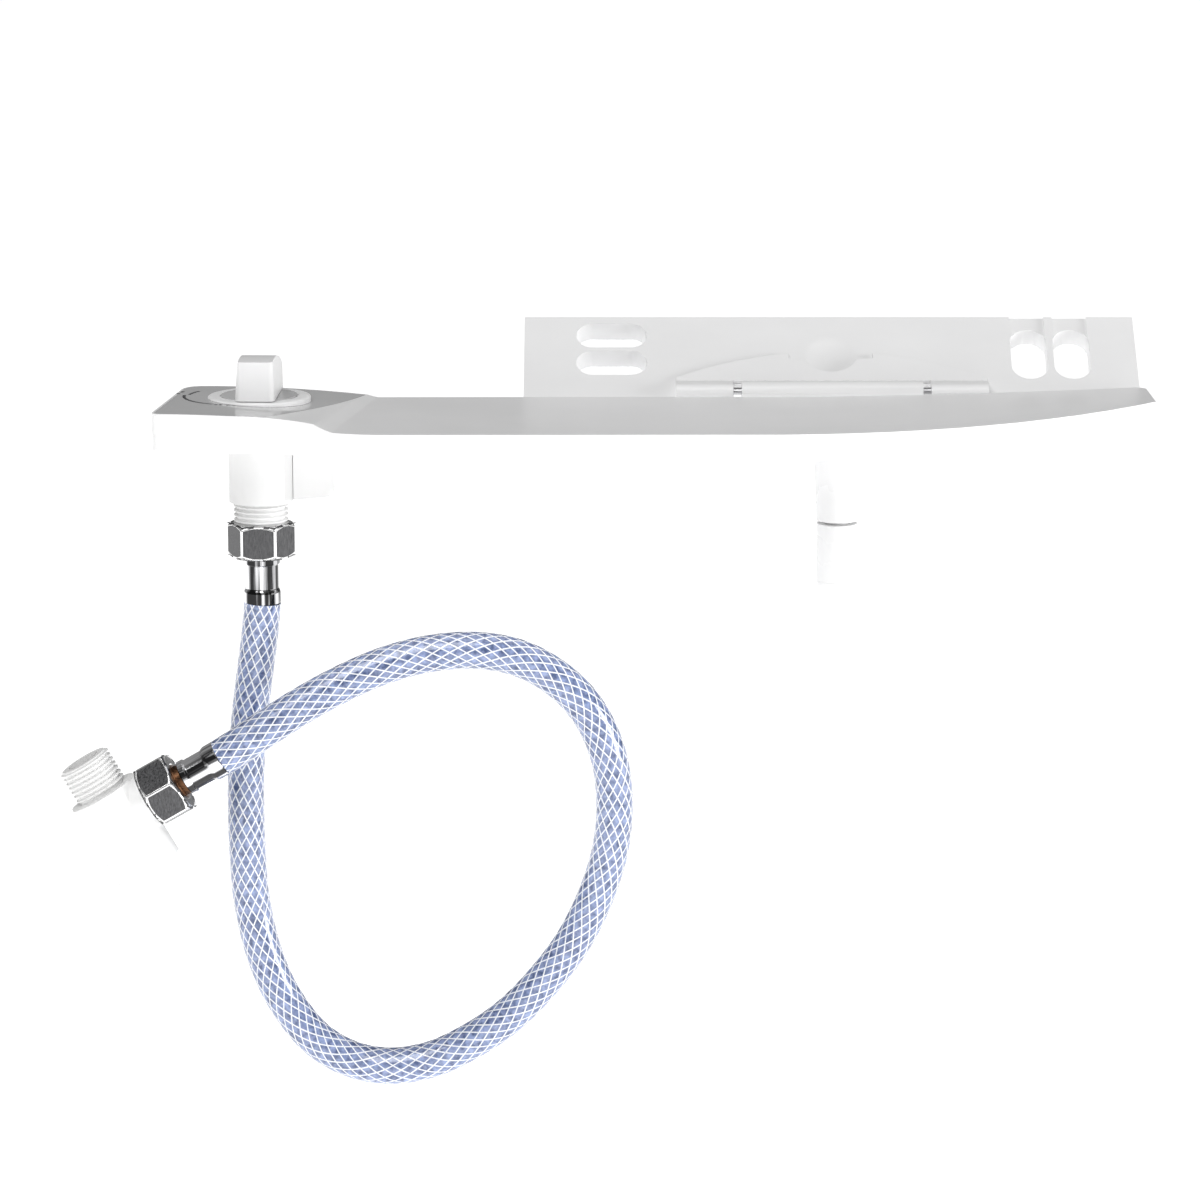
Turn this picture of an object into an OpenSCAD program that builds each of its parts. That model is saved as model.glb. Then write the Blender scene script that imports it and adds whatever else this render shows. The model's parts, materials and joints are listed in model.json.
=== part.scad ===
// Slim non-electric bidet attachment: control pod, arm, telescopic nozzle, slotted
// mounting plate on a hinge, inlet valve, braided hose set and T adapter.
// Millimetres, +Z up, -Y towards the user. The origin lies on the rim pads' flat
// underside, on the centreline of the nozzle and the mounting plate.

/* [Casing] */
// Thickness of the rubber pads that stand below the casing
pad_proud = 0.8; // [0.6:0.1:1.2]
// Height of the arm's flat middle stretch
arm_h = 10; // [9.6:0.1:10.6]
// Extra height of the arm at its free end
arm_end_rise = 2.6; // [1.5:0.1:3]
// Height of the control pod
pod_h = 14.5; // [14:0.1:15.2]
// Height of the joint line between the two shells
split_h = 5.9; // [5.5:0.1:6.2]
// Wall thickness of the shells
wall = 2; // [1.6:0.1:2.2]

/* [Knob] */
// Length of the lever
lever_len = 36; // [30:1:38]
// Width of the lever at its foot
lever_w = 15.2; // [12:0.2:16]
// Height of the lever above the bezel
lever_h = 15.8; // [12:0.2:20]
// Outer radius of the bezel ring
bezel_r = 19.8; // [18:0.1:20]

/* [Valve] */
// Outer radius of the valve cup
cup_r = 12.3; // [11.5:0.1:12.4]
// Depth of the valve cup below the origin
cup_drop = 25.2; // [25:0.1:28]
// Major radius of the G1/2 inlet thread
thread_r = 10.48; // [10.4:0.01:10.5]

/* [Nozzle] */
// Outer radius of the nozzle sleeve
sleeve_r = 7.8; // [7.4:0.1:7.9]

/* [Mounting plate] */
// Width of the plate
plate_w = 242; // [230:1:250]
// Length of the plate behind its hinge axis
plate_len = 44; // [42:0.5:50]
// Tilt of the plate above the flat, in degrees
plate_tilt = 36; // [20:1:40]
// Depth of the plate from its face to the foot of its skirt
plate_t = 8.9; // [8:0.1:9]
// Width of a bolt slot
slot_w = 13.6; // [12:0.2:15]
// Length of a bolt slot
slot_len = 28; // [24:1:30]

/* [Hose set] */
// Outer diameter of the hose
hose_d = 14.4; // [14:0.1:14.6]
// Width across the flats of the union nuts
nut_af = 23; // [22.5:0.1:24]

/* [Hidden] */
$fn = 64;

// Heights
base_z = pad_proud;
split_z = base_z + split_h;
arm_z = base_z + arm_h;
pod_z = base_z + pod_h;
eps = 0.01;

// Outline of the casing, seen from above
pod_front_y = -54.6;
arm_front_y = -70.6;
rear_y = 14.5;
s_r = 50.4;
s_x = -225.4;
s_turn = 33;
front_arc_x = -22.3;
front_arc_r = 207.6;
front_arc_turn = 44.5;
flare_x = -40;
flare_r = 1500;
flare_turn = 6.05;

// Pod crown and the concave step beside the pod
crown_x = -245.4;
crown_r = 594;
step_foot = [-185, -63.5];
step_turn = 9.4;
step_w = 17;
step_sink = 0.5;
rise_x = -60;
free_end_x = 126;

// Knob and valve axis
knob_x = -222.1;
knob_rest = -2;
knob_y = -12.5;
port_z = -12;

// Nozzle axis is x = 0
nozzle_y = -27;
guide_end_z = -29.8;
lip_z = -26.8;
chamber_r = 6.6;
chamber_top = 7.4;
piston_z = 1;
sleeve_top = -31;
sleeve_end = -53.4;
tip_drop = 4.8;
stem_r = 4.5;
run_gap = 0.06;
spring_turns = 7;
spring_wire_r = 0.45;
spring_mean_r = 5.5;

// Plate hinge
hinge_y = 19.9;
hinge_z = 12.2;
barrel_half = 35.5;
pin_r = 1.5;
plate_top = -2.5;

// Hose set
nut_top_z = -33.6;
nut_h = 13.2;
nut_foot = nut_top_z - nut_h;
ferrule_len = 18.6;
thread_end_z = -41;
nut_ac_r = nut_af / 2 / cos(30);
branch_tilt = 30;
hose_end = [-236.7, -42.5, -120];
hose_points = [
    [knob_x, knob_y, nut_foot - ferrule_len], [-223.1, -12.7, -76], [-224.9, -13.5, -90],
    [-226.9, -15, -105], [-228.6, -17, -122], [-229.2, -19.2, -142],
    [-228.8, -21, -162], [-227.4, -22, -182],
    [-223, -23, -203], [-215.6, -23.8, -221], [-204, -24.6, -237], [-190, -25.4, -246],
    [-174, -26.2, -249], [-157, -27, -246], [-141, -27.8, -238], [-126, -28.8, -227],
    [-113, -29.6, -213], [-101.6, -30.5, -197], [-92.6, -31.4, -178], [-87, -32.3, -159],
    [-85.4, -33.2, -140], [-87.6, -34, -122], [-94.6, -34.9, -105], [-105.6, -35.8, -92],
    [-121, -36.6, -82.6], [-138, -37.5, -79], [-156, -38.4, -80], [-174, -39.3, -84.6],
    [-191, -40.1, -92], [-206.6, -41, -100.6], [-221, -41.9, -109.8], hose_end];

// Points on an arc
function arc(c, r, a, b, n) =
    [for (k = [0 : n]) c + r * [cos(a + (b - a) * k / n), sin(a + (b - a) * k / n)]];

// Casing outline, moved inwards by i
s_c = [s_x, pod_front_y - s_r];
bulge_c = s_c + 2 * s_r * [cos(90 - s_turn), sin(90 - s_turn)];
function casing(i) = concat(
    arc([-256, -46.6], 4.3 - i, 173, 264, 5),
    arc(s_c, s_r + i, 96, 90 - s_turn, 5),
    arc(bulge_c, s_r - i, 270 - s_turn, 270, 5),
    arc([front_arc_x, arm_front_y + front_arc_r], front_arc_r - i, 270, 270 + front_arc_turn, 12),
    arc([118.5, 18.6], 4.5 - i, 10, 90, 7),
    arc([flare_x, rear_y + flare_r], flare_r + i, 270 + flare_turn - 0.2, 270, 8),
    arc([-245.6, rear_y - 8], 8 - i, 90, 173, 5));

// Height of the arm's top at x, and of the pod's crown
function arm_top(x) =
    arm_z + (x > rise_x ? arm_end_rise * pow((x - rise_x) / (free_end_x - rise_x), 2) : 0);
function crown(x) = pod_z - pow(x - crown_x, 2) / (2 * crown_r);

function roof(x) = x < -200 ? crown(x) : arm_top(x);

// A wall-to-wall slab in the xz plane, running along y
module slab(points) {
    translate([0, 120, 0])
        rotate([90, 0, 0])
            linear_extrude(240)
                polygon(points);
}

// The arm's body below its top face, lowered by d
module arm_body(d) {
    slab(concat([[-290, -1], [150, -1]],
                [for (k = [12 : -1 : 0])
                    let (x = rise_x + (150 - rise_x) * k / 12) [x, arm_top(x) - d]],
                [[-290, arm_z - d]]));
}

// The pod's body below its crown, lowered by d
module pod_crown(d) {
    slab(concat([[-290, -1], [-130, -1]],
                [for (k = [16 : -1 : 0])
                    let (x = -290 + 160 * k / 16) [x, crown(x) - d]]));
}

// Everything on the knob's side of the concave step, moved inwards by i
module step_sweep(i) {
    step_drop = pod_h - arm_h;
    translate([step_foot[0], step_foot[1], 0])
        rotate([0, 0, -step_turn])
            slab(concat([[-140, -1], [-i, -1]],
                        [for (k = [0 : 8])
                            let (u = k / 8)
                                [-i - step_w * u,
                                 arm_z - i * 0.8 - step_sink
                                     + (step_drop + step_sink) * pow(u, 2)]],
                        [[-i - step_w, pod_z + 1], [-140, pod_z + 1]]));
}

// Solid casing form, skin moved inwards by i and its bottom raised by lift
module casing_form(i, lift) {
    intersection() {
        translate([0, 0, base_z + lift])
            linear_extrude(40)
                polygon(casing(i));
        union() {
            arm_body(i * 0.8);
            intersection() {
                pod_crown(i * 0.8);
                step_sweep(i);
            }
        }
    }
}

screw_spots = [[-249, 2], [-249, -42], [-160, 6], [-160, -60], [-70, 6], [-70, -60],
               [30, 6], [40, -48], [112, 12]];

// Step inwards of the base shell under the joint line
seam_step = 0.3;
module base_shell() {
    color("white")
        difference() {
            union() {
                difference() {
                    intersection() {
                        casing_form(seam_step, 0);
                        translate([-300, -100, 0])
                            cube([500, 200, split_z]);
                    }
                    translate([0, 0, base_z + wall])
                        linear_extrude(40)
                            polygon(casing(wall));
                }
                for (p = screw_spots)
                    translate([p[0], p[1], base_z])
                        cylinder(r = 3.2, h = split_h, $fn = 32);
            }
            for (p = screw_spots)
                translate([p[0], p[1], -1]) {
                    cylinder(r = 1.3, h = 30, $fn = 32);
                    cylinder(r = 2.6, h = base_z + 3.65, $fn = 32);
                }
            translate([knob_x, knob_y, -1])
                cylinder(r = cup_r + 0.1, h = 10);
            translate([knob_x + elbow_x + riser_x, knob_y, -1])
                cylinder(r = riser_r + 0.1, h = 10, $fn = 32);
            translate([0, nozzle_y, -1])
                cylinder(r = 9.2, h = 10);
            for (x = pad_spots)
                translate([x, pad_y, -1])
                    pad_form(pad_proud + 1.6);
        }
}

module top_shell() {
    color("white")
        difference() {
            union() {
                difference() {
                    casing_form(0, 0);
                    translate([-300, -100, -10])
                        cube([500, 200, split_z + 10]);
                    casing_form(wall, -5);
                }
                for (p = screw_spots)
                    translate([p[0], p[1], split_z])
                        cylinder(r = 3, h = roof(p[0]) - split_z - 0.9, $fn = 32);
            }
            for (p = screw_spots)
                translate([p[0], p[1], split_z - 1])
                    cylinder(r = 1, h = 3.4, $fn = 32);
            inlay_form(inlay_t);
            translate([knob_x, knob_y, 0])
                cylinder(r = 13, h = 40);
            translate([knuckle_in - 0.5, hinge_y, hinge_z])
                rotate([0, 90, 0])
                    cylinder(r = knuckle_r + 0.3, h = knuckle_out - knuckle_in + 1);
        }
}

// Grey inlay flush with the pod's crown
inlay_t = 0.8;
inlay_rim = 0.9;
crest_rim = 0.05;
inlay_axis = [-366.7, 66.4];
inlay_r = 191.9;
module inlay_form(t) {
    intersection() {
        linear_extrude(60)
            polygon(casing(inlay_rim));
        step_sweep(crest_rim);
        translate([inlay_axis[0], inlay_axis[1], 0])
            cylinder(r = inlay_r, h = 60, $fn = 240);
        difference() {
            pod_crown(0);
            pod_crown(t);
        }
        translate([-290, -60, arm_z - 2])
            cube([160, 100, 20]);
    }
}

module panel_inlay() {
    color("gray")
        difference() {
            inlay_form(inlay_t);
            translate([knob_x, knob_y, 0])
                cylinder(r = 13, h = 40);
        }
}

bezel_top = pod_z + 0.9;
disc_r = 14.7;
module bezel_ring() {
    color("gainsboro") {
        difference() {
            translate([knob_x, knob_y, 0])
                rotate_extrude($fn = 96)
                    polygon([[disc_r + 0.3, pod_z + 0.35], [disc_r + 0.3, bezel_top - 0.2],
                             [disc_r + 0.6, bezel_top], [bezel_r - 1.6, bezel_top],
                             [bezel_r - 0.3, pod_z + 0.6], [bezel_r, pod_z + 0.35],
                             [bezel_r, pod_z - 2.4], [12.9, pod_z - 2.4],
                             [12.9, pod_z + 0.35]]);
            pod_crown(-0.03);
        }
        translate([knob_x, knob_y, pod_z - 2.6])
            difference() {
                cylinder(r = 12.93, h = 2.95);
                translate([0, 0, -1])
                    cylinder(r = 12.3, h = 5);
            }
    }
}

module case_screws() {
    color("silver")
        for (p = screw_spots)
            translate([p[0], p[1], base_z + 1.0])
                difference() {
                    union() {
                        cylinder(r = 2.5, h = 1.6, $fn = 32);
                        cylinder(r = 1, h = 7.2, $fn = 32);
                    }
                    translate([0, 0, -eps])
                        cylinder(r = 1, h = 0.9, $fn = 6);
                }
}

// Rubber pads under the arm
pad_spots = [-120, 0, 80];
pad_y = -3;
pad_len = 34;
pad_wid = 12;
module pad_form(h) {
    linear_extrude(h)
        slot_shape(pad_len, pad_wid, 0);
}

module rim_pads() {
    color("dimgray")
        for (x = pad_spots)
            translate([x, pad_y, 0])
                pad_form(pad_proud + 0.6);
}

// Lever knob: a blade with a rounded top, on a short round hub
lever_z = bezel_top + 0.35;
lever_top_w = 13.2;
lever_apex = -9;
lever_crown_r = 60;
lever_lean = 0.5;
module knob_lever() {
    color("white")
        translate([knob_x, knob_y, lever_z])
            rotate([0, 0, knob_rest])
            difference() {
                intersection() {
                    linear_extrude(lever_h)
                        hull()
                            for (x = [-1, 1])
                                for (y = [-1, 1])
                                    translate([x * (lever_w / 2 - 2.2), y * (lever_len / 2 - 2.2)])
                                        circle(r = 2.2, $fn = 32);
                    rotate([90, 0, 0])
                        linear_extrude(lever_len + 2, center = true)
                            polygon([[-lever_w / 2, -1], [lever_w / 2, -1],
                                     [lever_lean + lever_top_w / 2, lever_h + 1],
                                     [lever_lean - lever_top_w / 2, lever_h + 1]]);
                    lever_crown();
                }
                translate([0, 0, -eps])
                    cylinder(r = 4.02, h = 8);
                translate([0, 0, 7.9])
                    cylinder(r = 1.6, h = 3.5, $fn = 32);
                translate([0, 0, 11.3])
                    cylinder(r = 3.2, h = 20, $fn = 32);
            }
}

// Everything under the lever's arched top, measured from the lever's foot
module lever_crown() {
    translate([-20, lever_apex, lever_h - lever_crown_r])
        rotate([0, 90, 0])
            cylinder(r = lever_crown_r, h = 40, $fn = 240);
}

// Plug over the screw, flush with the lever's top
plug_z = 13.6;
module lever_plug() {
    color("white")
        translate([knob_x, knob_y, lever_z])
            rotate([0, 0, knob_rest])
            intersection() {
                translate([0, 0, plug_z])
                    cylinder(r = 3.15, h = 10, $fn = 32);
                lever_crown();
            }
}

module knob_disc() {
    color("darkgray")
        translate([knob_x, knob_y, pod_z + 0.55])
            difference() {
                union() {
                    cylinder(r = disc_r, h = bezel_top - pod_z - 0.35);
                    translate([0, 0, -0.15])
                        cylinder(r = 11.2, h = 0.2);
                }
                translate([0, 0, -1])
                    cylinder(r = 4.02, h = 4);
            }
}

module knob_screw() {
    color("silver")
        translate([knob_x, knob_y, lever_z]) {
            translate([0, 0, 4])
                cylinder(r = 1.5, h = 8, $fn = 32);
            translate([0, 0, 11.35])
                cylinder(r = 3, h = 2, $fn = 32);
        }
}

// Stem from the rotating disc up into the lever
stem_foot_z = 6.1;
module valve_stem() {
    color("goldenrod")
        translate([knob_x, knob_y, 0])
            difference() {
                union() {
                    translate([0, 0, stem_foot_z])
                        cylinder(r = 8.8, h = 2);
                    translate([0, 0, stem_foot_z])
                        cylinder(r = 4, h = lever_z + 7.8 - stem_foot_z);
                }
                translate([0, 0, 10.2])
                    rotate_extrude()
                        translate([3.5, 0])
                            square([1, 1.4]);
                translate([0, 0, lever_z + 3.5])
                    cylinder(r = 1.55, h = 10, $fn = 32);
            }
}

module stem_o_ring() {
    color("black")
        translate([knob_x, knob_y, 10.9])
            rotate_extrude()
                intersection() {
                    translate([3.65, 0])
                        circle(r = 0.6, $fn = 24);
                    translate([3.52, -0.6])
                        square([0.5, 1.2]);
                }
}

module ceramic_disc_rotor() {
    color("ivory")
        translate([knob_x, knob_y, 3.05])
            difference() {
                cylinder(r = 8.8, h = 3);
                translate([4.6, 0, -1])
                    cylinder(r = 2.6, h = 5, $fn = 32);
                translate([-4.6, 0, -1])
                    cylinder(r = 2.6, h = 5, $fn = 32);
            }
}

module ceramic_disc_fixed() {
    color("ivory")
        translate([knob_x, knob_y, 0])
            difference() {
                cylinder(r = 9, h = 3);
                for (a = [0, 180])
                    rotate([0, 0, a])
                        translate([0, 4.6, -1])
                            cylinder(r = 2.4, h = 5, $fn = 32);
            }
}

module disc_seat_washer() {
    color("black")
        translate([knob_x, knob_y, -1.2])
            difference() {
                cylinder(r = 9, h = 1.2);
                translate([0, 0, -1])
                    cylinder(r = 7.2, h = 4);
            }
}

module valve_bonnet() {
    color("white")
        translate([knob_x, knob_y, 0])
            difference() {
                union() {
                    translate([0, 0, 8.4])
                        cylinder(r = 9.1, h = 1.6);
                    translate([0, 0, 10])
                        cylinder(r = 11.6, h = 2.6);
                }
                translate([0, 0, 5])
                    cylinder(r = 4.06, h = 12);
                translate([0, 0, 10.2])
                    cylinder(r = 4.1, h = 1.4);
            }
}

module valve_body() {
    color("white")
        translate([knob_x, knob_y, 0])
            difference() {
                union() {
                    translate([0, 0, -cup_drop])
                        cylinder(r = cup_r, h = cup_drop + 10);
                    translate([0, 0, base_z + wall])
                        cylinder(r = 14, h = 2);
                    translate([0, 0, thread_end_z])
                        cylinder(r = 9.3, h = 20);
                    for (k = [0 : 7])
                        translate([0, 0, thread_end_z + 0.2 + 1.9 * k])
                            rotate_extrude()
                                polygon([[9, 0], [thread_r, 0.6], [thread_r, 1], [9, 1.6]]);
                    translate([0, -boss_w / 2, elbow_bottom - 0.4])
                        cube([elbow_x - 0.25, boss_w, base_z - elbow_bottom - 0.2]);
                }
                translate([0, 0, -1.2])
                    cylinder(r = 9.2, h = 30);
                translate([0, 0, -60])
                    cylinder(r = 5, h = 50);
                translate([0, 4.6, -20])
                    cylinder(r = 2.2, h = 22, $fn = 32);
                translate([6, 0, port_z])
                    rotate([0, 90, 0])
                        cylinder(r = 2.4, h = 12, $fn = 32);
                translate([6, 0, port_z])
                    cylinder(r = 2.2, h = 12, $fn = 32);
            }
}

// Elbow that takes the water from the valve's side port up into the casing
elbow_x = 13.1;
boss_w = 15;
elbow_w = 16;
riser_x = 6.1;
riser_r = 3.5;
barb_r = 1.85;
feed_z = 6;
elbow_deep = 16;
elbow_bottom = -23.4;
module outlet_elbow() {
    color("white")
        translate([knob_x + elbow_x, knob_y, 0])
            difference() {
                union() {
                    translate([0, elbow_deep / 2, 0])
                        rotate([90, 0, 0])
                            linear_extrude(elbow_deep)
                                polygon(concat(
                                    [[0, base_z], [0, elbow_bottom]],
                                    arc([elbow_w - 4, elbow_bottom + 5], 4, 270, 360, 5),
                                    [[elbow_w, base_z]]));
                    translate([riser_x, 0, base_z - 1])
                        cylinder(r = riser_r, h = feed_z + 2.8 - base_z, $fn = 32);
                    translate([riser_x, 0, feed_z])
                        rotate([0, 90, feed_turn])
                            cylinder(r = barb_r, h = 10, $fn = 32);
                }
                translate([-1, 0, port_z])
                    rotate([0, 90, 0])
                        cylinder(r = 2.4, h = riser_x + 1, $fn = 32);
                translate([riser_x, 0, port_z - 2])
                    cylinder(r = 1.8, h = feed_z + 2 - port_z, $fn = 32);
                translate([riser_x, 0, feed_z])
                    rotate([0, 90, feed_turn])
                        cylinder(r = 1.1, h = 12, $fn = 32);
            }
}

module inlet_filter() {
    color("silver")
        translate([knob_x, knob_y, thread_end_z])
            difference() {
                cylinder(r = 4.9, h = 3);
                for (x = [-3, 0, 3])
                    for (y = [-3, 0, 3])
                        if (abs(x) + abs(y) < 6)
                            translate([x, y, -1])
                                cylinder(r = 0.8, h = 6, $fn = 16);
            }
}

// Straight feed tube between the elbow's barb and the nozzle guide's barb
feed_from = [knob_x + elbow_x + riser_x, knob_y];
feed_run = [0, nozzle_y] - feed_from;
feed_turn = atan2(feed_run[1], feed_run[0]);
feed_dist = norm(feed_run);
feed_r = 2.7;
feed_start = riser_r + 0.4;
feed_stop = feed_dist - 11.4;

module feed_line() {
    translate([feed_from[0], feed_from[1], feed_z])
        rotate([0, 90, feed_turn])
            children();
}

module feed_tube() {
    color("lightblue")
        feed_line()
            difference() {
                translate([0, 0, feed_start])
                    cylinder(r = feed_r, h = feed_stop - feed_start, $fn = 32);
                cylinder(r = barb_r, h = feed_dist, $fn = 32);
            }
}

module tube_clamps() {
    color("silver")
        feed_line()
            for (d = [feed_start + 2, feed_stop - 5])
                translate([0, 0, d])
                    difference() {
                        cylinder(r = feed_r + 0.4, h = 3, $fn = 32);
                        translate([0, 0, -1])
                            cylinder(r = feed_r, h = 5, $fn = 32);
                    }
}

module nozzle_guide() {
    color("white")
        translate([0, nozzle_y, 0])
            difference() {
                union() {
                    rotate_extrude()
                        polygon([[0, guide_end_z], [8.05, guide_end_z], [9.1, base_z - 8],
                                 [9.1, base_z + wall], [11, base_z + wall],
                                 [11, base_z + wall + 1.6], [8.4, base_z + wall + 1.6],
                                 [8.4, chamber_top + 1.4], [0, chamber_top + 1.4]]);
                    translate([0, 0, feed_z])
                        rotate([0, -90, feed_turn])
                            cylinder(r = barb_r, h = 18, $fn = 32);
                }
                translate([0, 0, lip_z])
                    cylinder(r = chamber_r, h = chamber_top - lip_z);
                translate([0, 0, guide_end_z - 1])
                    cylinder(r = stem_r + run_gap, h = 8);
                translate([0, 0, feed_z])
                    rotate([0, -90, feed_turn])
                        cylinder(r = 1, h = 19, $fn = 32);
            }
}

module guide_retainer() {
    color("silver")
        translate([0, nozzle_y, base_z + wall + 1.6])
            difference() {
                cylinder(r = 10.8, h = 0.8);
                translate([0, 0, -1])
                    cylinder(r = 8.45, h = 3);
                rotate([0, 0, feed_turn])
                    translate([-20, -2.4, -1])
                        cube([20, 4.8, 3]);
            }
}

// Rings of a tube swept along a list of points
function unit(v) = v / norm(v);
function side(t) = unit(cross(t, [0.02, 1, 0.03]));
function sweep_ring(p, t, r, n) =
    let (u = side(t), v = cross(t, u))
        [for (k = [0 : n - 1]) p + r * (cos(360 * k / n) * u + sin(360 * k / n) * v)];
function heading(path, i) =
    unit(path[min(i + 1, len(path) - 1)] - path[max(i - 1, 0)]);

module sweep(path, r, n, first, last) {
    m = len(path);
    points = [for (i = [0 : m - 1])
        each sweep_ring(path[i], i == 0 ? first : i == m - 1 ? last : heading(path, i), r, n)];
    sides = [for (i = [0 : m - 2])
        for (k = [0 : n - 1])
            each [[i * n + k, i * n + (k + 1) % n, (i + 1) * n + k],
                  [i * n + (k + 1) % n, (i + 1) * n + (k + 1) % n, (i + 1) * n + k]]];
    caps = [[for (k = [n - 1 : -1 : 0]) k], [for (k = [0 : n - 1]) (m - 1) * n + k]];
    polyhedron(points = points, faces = concat(sides, caps), convexity = 8);
}

module nozzle_spring() {
    steps = spring_turns * 12;
    low = lip_z + spring_wire_r + 0.02;
    high = piston_z - spring_wire_r - 0.02;
    coil = [for (k = [0 : steps])
        [spring_mean_r * cos(30 * k), spring_mean_r * sin(30 * k),
         low + (high - low) * k / steps]];
    color("silver")
        translate([0, nozzle_y, 0])
            sweep(coil, spring_wire_r, 6, heading(coil, 0), heading(coil, steps));
}

module nozzle_stem() {
    color("ivory")
        translate([0, nozzle_y, 0])
            difference() {
                union() {
                    translate([0, 0, sleeve_end])
                        cylinder(r = stem_r, h = piston_z - sleeve_end + 0.5);
                    translate([0, 0, piston_z])
                        cylinder(r = 6.2, h = 3.2);
                }
                translate([0, 0, piston_z + 1])
                    rotate_extrude()
                        translate([5.4, 0])
                            square([2, 1.2]);
                translate([0, 0, sleeve_end - 1])
                    cylinder(r = 1.6, h = 70, $fn = 32);
            }
}

module piston_seal() {
    color("black")
        translate([0, nozzle_y, piston_z + 1.05])
            rotate_extrude()
                translate([5.45, 0])
                    square([chamber_r - run_gap - 5.45, 1.1]);
}

module nozzle_sleeve() {
    color("white")
        translate([0, nozzle_y, sleeve_end])
            difference() {
                cylinder(r = sleeve_r, h = sleeve_top - sleeve_end);
                translate([0, 0, -1])
                    cylinder(r = stem_r + 0.02, h = 40);
            }
}

module nozzle_tip() {
    dome = concat([[0, sleeve_end - 0.02], [sleeve_r - 0.15, sleeve_end - 0.02]],
                  [for (a = [0 : 10 : 80])
                      [0.6 + (sleeve_r - 0.75) * cos(a),
                       sleeve_end - 0.6 - (tip_drop - 0.6) * sin(a)]],
                  [[0.6, sleeve_end - tip_drop], [0, sleeve_end - tip_drop]]);
    color("white")
        translate([0, nozzle_y, 0])
            difference() {
                rotate_extrude()
                    polygon(dome);
                for (a = [30 : 60 : 330])
                    rotate([0, 0, a])
                        translate([2.2, 0, sleeve_end - 10])
                            cylinder(r = 0.45, h = 20, $fn = 16);
                translate([0, 0, sleeve_end - 2])
                    cylinder(r = 3.4, h = 5);
            }
}

// Fixed hinge barrel on the arm's rear wall
module hinge_barrel() {
    color("white")
        difference() {
            union() {
                translate([-barrel_half, hinge_y, hinge_z])
                    rotate([0, 90, 0])
                        cylinder(r = 4, h = 2 * barrel_half);
                translate([-barrel_half, rear_y + 0.02, split_z + 0.4])
                    cube([2 * barrel_half, hinge_y - rear_y, hinge_z - split_z - 0.4]);
            }
            translate([-barrel_half - 1, hinge_y, hinge_z])
                rotate([0, 90, 0])
                    cylinder(r = pin_r, h = 2 * barrel_half + 2);
            linear_extrude(40)
                polygon(casing(-0.02));
        }
}

knuckle_in = 38.8;
knuckle_out = 61.2;
knuckle_r = 3.2;
pin_half = 49.6;
module hinge_pin() {
    color("silver")
        translate([-pin_half, hinge_y, hinge_z])
            rotate([0, 90, 0])
                cylinder(r = pin_r, h = 2 * pin_half);
}

// Places a child drawn flat (x across, y behind the hinge axis) on the tilted plate
module on_plate() {
    translate([0, hinge_y, hinge_z])
        rotate([plate_tilt, 0, 0])
            children();
}

// Plate outline: straight front edge, then a concave run along the arm's flare
plate_front = -1.6;
plate_gap = 1.2;
function plate_outline(i) = concat(
    [[plate_w / 2 - i, plate_len - i], [-plate_w / 2 + i, plate_len - i],
     [-plate_w / 2 + i, plate_front + i], [40, plate_front + i]],
    [for (x = [60 : 15 : 105]) [x, plate_flare(x) + i]],
    [[plate_w / 2 - i, plate_flare(plate_w / 2) + i]]);
function plate_flare(x) =
    max(plate_front, rear_y + pow(x - flare_x, 2) / (2 * flare_r) + plate_gap - hinge_y);

left_slots = [[-86.4, 33.5], [-86.4, 18.3]];
right_slots = [[78.7, 23.5], [95.6, 23.5]];
module slot_shape(length, width, along) {
    rotate([0, 0, along])
        union() {
            square([length - width, width], center = true);
            for (s = [-1, 1])
                translate([s * (length - width) / 2, 0])
                    circle(r = width / 2);
        }
}

module each_slot(grow) {
    for (p = left_slots)
        translate(p)
            slot_shape(slot_len + 2 * grow, slot_w - 0.4 + 2 * grow, 0);
    for (p = right_slots)
        translate(p)
            slot_shape(slot_len + 2 * grow, slot_w + 0.8 + 2 * grow, 90);
}

// Knuckle seen along the hinge axis, with a ramp down to the cover's edge
cover_from = 6.6;
cover_screw_s = 9.6;
module knuckle_form() {
    circle(r = knuckle_r);
    polygon([[0, 0], [1.82, 2.63], [cover_from - 0.1, plate_top + cover_t],
             [cover_from - 0.1, plate_top - plate_t], [plate_front, plate_top - plate_t],
             [plate_front, 0]]);
}

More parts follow.
